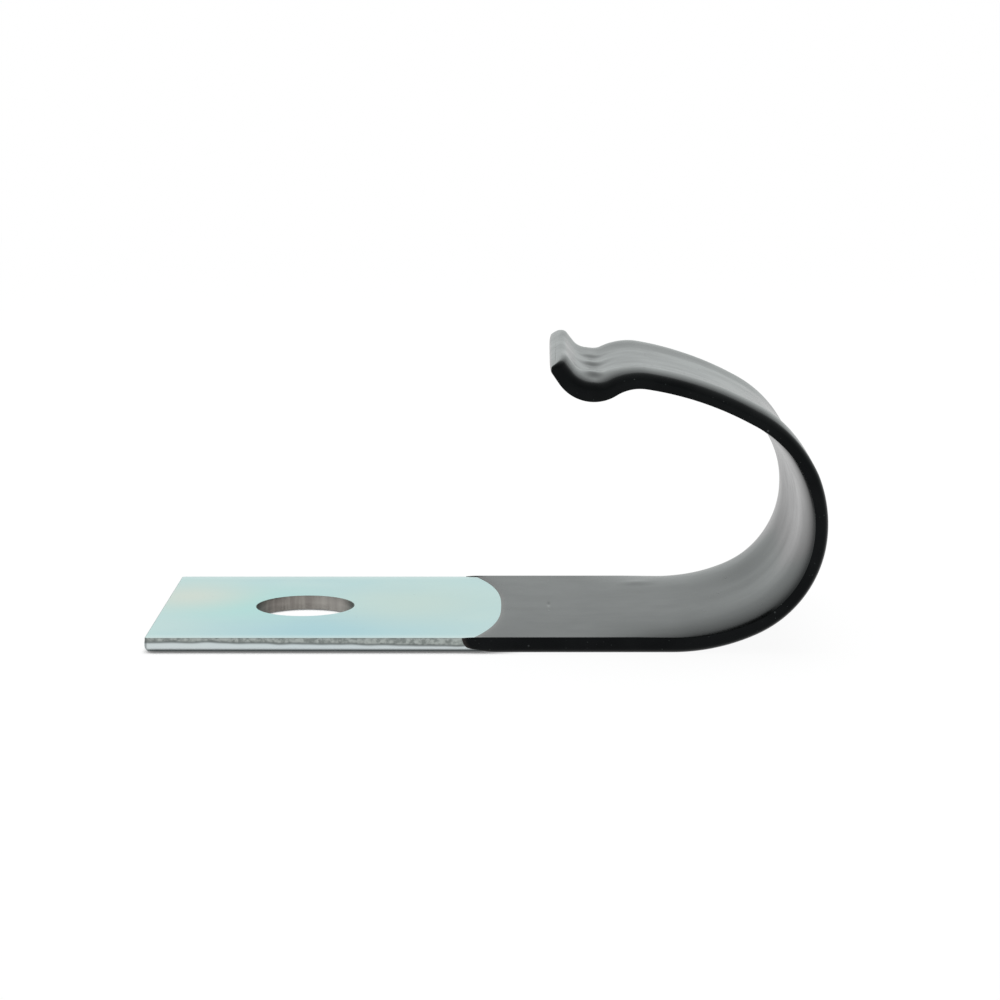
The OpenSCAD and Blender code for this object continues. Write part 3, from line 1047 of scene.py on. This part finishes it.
tree.links.new(vinyl_bump.outputs[0], vinyl_shader.inputs["Normal"])
vinyl_shader.inputs["IOR"].default_value = 1.3
vinyl_shader.inputs["Specular Tint"].default_value = (0.32, 0.34, 0.36, 1)
coat_piece.data.materials.append(vinyl)
print("finish:", vinyl.name, len(tree.nodes), "nodes")

# %% [markdown]
# ## Floor
# The clip lies on a plain white floor. A plain white disc would turn grey under soft light. So the floor is
# white by itself to the camera and in reflections, with a share of matt white near the clip that keeps its
# shadow. Close under the bare steel, where hardly any sky is open, it darkens to a thin contact shadow.

# %% Mesh of the floor
FLOOR_R = 3.0
FLOOR_RINGS, FLOOR_SIDES = 39, 64
FLOOR_DROP = 0.01
ring_r = FLOOR_R * np.linspace(0.0, 1.0, FLOOR_RINGS + 1)[1:] ** 3
ring_a = np.linspace(0, 2 * np.pi, FLOOR_SIDES + 1)[:-1]
floor_xy = ring_r[:, None, None] * np.stack([np.cos(ring_a), np.sin(ring_a)], axis=-1)[None]
floor_z = np.full((*floor_xy.shape[:2], 1), cad_low.z - FLOOR_DROP * MM)
floor_points = np.concatenate([floor_xy, floor_z], axis=-1).reshape(-1, 3)
number = np.arange(FLOOR_RINGS * FLOOR_SIDES).reshape(-1, FLOOR_SIDES)
turned = np.roll(number, -1, axis=1)
floor_quads = np.stack([number[:-1], number[1:], turned[1:], turned[:-1]], axis=-1).reshape(-1, 4)
floor_mesh = bpy.data.meshes.new("floor")
floor_mesh.from_pydata(floor_points.tolist(), [], floor_quads.tolist() + [number[0].tolist()])
floor = bpy.data.objects.new("floor", floor_mesh)
bpy.context.scene.collection.objects.link(floor)
print(f"floor: {len(floor_mesh.polygons)} faces")

# %% Finish of the floor
WHITE, MATT_WHITE = (1, 1, 1, 1), (0.9, 0.9, 0.9, 1)
SHADOW_R = 0.25
GLOW_NEAR = 0.94
CONTACT_REACH, CONTACT_DARK = 0.8, 0.83
CONTACT_FULL, CONTACT_END = 0.1, 0.75
BARE_EASE = 2.0
white = bpy.data.materials.new("white_floor")
white.use_nodes = True
tree = white.node_tree
tree.nodes.remove(tree.nodes["Principled BSDF"])


def seen_directly(tree):
    """1 for a ray from the camera, off a gloss or through glass, and 0 for a ray that only lights."""
    path = add(tree, "ShaderNodeLightPath")
    either = maths(tree, "MAXIMUM", path.outputs["Is Camera Ray"], path.outputs["Is Glossy Ray"])
    return maths(tree, "MAXIMUM", either, path.outputs["Is Transmission Ray"])


floor_place = add(tree, "ShaderNodeTexCoord").outputs["Object"]
floor_away = add(tree, "ShaderNodeVectorMath", {0: floor_place}, operation="LENGTH").outputs["Value"]
glow = ramp(tree, floor_away, SHADOW_R / 2, SHADOW_R * 2, GLOW_NEAR, 1.0)
glow = maths(tree, "MULTIPLY", glow, seen_directly(tree))
dip_x = DIP_END - hole_end
under_bare = ramp(tree, axis_value(tree, floor_place, 0), (dip_x - BARE_EASE) * MM,
                  (dip_x + BARE_EASE) * MM, 1.0, 0.0)
open_sky = add(tree, "ShaderNodeAmbientOcclusion", {"Distance": CONTACT_REACH * MM}, samples=4)
contact = ramp(tree, open_sky.outputs["AO"], CONTACT_FULL, CONTACT_END, CONTACT_DARK, 0.0)
contact = maths(tree, "MULTIPLY", contact, under_bare)
matt = add(tree, "ShaderNodeBsdfDiffuse", {"Color": MATT_WHITE})
lit = add(tree, "ShaderNodeEmission", {"Color": WHITE, "Strength": maths(tree, "SUBTRACT", 1.0, contact)})
floor_mix = add(tree, "ShaderNodeMixShader", {0: glow, 1: matt.outputs[0], 2: lit.outputs[0]})
tree.links.new(floor_mix.outputs[0], tree.nodes["Material Output"].inputs["Surface"])
floor_mesh.materials.append(white)
print("finish:", white.name, len(tree.nodes), "nodes")

# %% [markdown]
# ## Light
# The clip was lit from all round in a white room. Many lamps could do that, but a world does it at once. To
# the camera the world is white. In the gloss it is white at the sides, dimmer overhead and a little cool,
# which shades the vinyl and tints the zinc. As light it is at a plain level, and one large softbox overhead
# gives the shadow its direction.

# %% Make the room
ROOM_LIGHT = 0.6
CEILING = 0.65
CEILING_FROM, CEILING_FULL = 0.2, 0.75
COOL_ROOM = (0.95, 1.0, 0.99, 1)
world = bpy.data.worlds.new("white_room")
bpy.context.scene.world = world
world.use_nodes = True
tree = world.node_tree
# In a world, Generated is the direction of the ray
overhead = axis_value(tree, add(tree, "ShaderNodeTexCoord").outputs["Generated"], 2)
room = ramp(tree, overhead, CEILING_FROM, CEILING_FULL, 1.0, CEILING)
from_camera = add(tree, "ShaderNodeLightPath").outputs["Is Camera Ray"]
direct = seen_directly(tree)
seen = maths(tree, "MAXIMUM", from_camera, maths(tree, "MULTIPLY", direct, room))
unseen = maths(tree, "MULTIPLY", maths(tree, "SUBTRACT", 1.0, direct), ROOM_LIGHT)
background = tree.nodes["Background"]
tree.links.new(blend(tree, from_camera, COOL_ROOM, WHITE), background.inputs["Color"])
tree.links.new(maths(tree, "ADD", seen, unseen), background.inputs["Strength"])
print("room:", world.name, len(tree.nodes), "nodes")

# %% Hang the softbox
SOFTBOX_SIZE, SOFTBOX_POWER = 0.5, 3.2
SOFTBOX_AT = (0.05, 0.12, 0.6)
SOFTBOX_TILT = (math.radians(-11), math.radians(5), 0)
softbox_data = bpy.data.lights.new("softbox", "AREA")
softbox_data.shape = "DISK"
softbox_data.size = SOFTBOX_SIZE
softbox_data.energy = SOFTBOX_POWER
softbox = bpy.data.objects.new("softbox", softbox_data)
softbox.location = SOFTBOX_AT
softbox.rotation_euler = SOFTBOX_TILT
softbox.visible_glossy = False
bpy.context.scene.collection.objects.link(softbox)
bpy.context.scene.view_settings.view_transform = "Standard"
print("softbox:", SOFTBOX_POWER, "W")
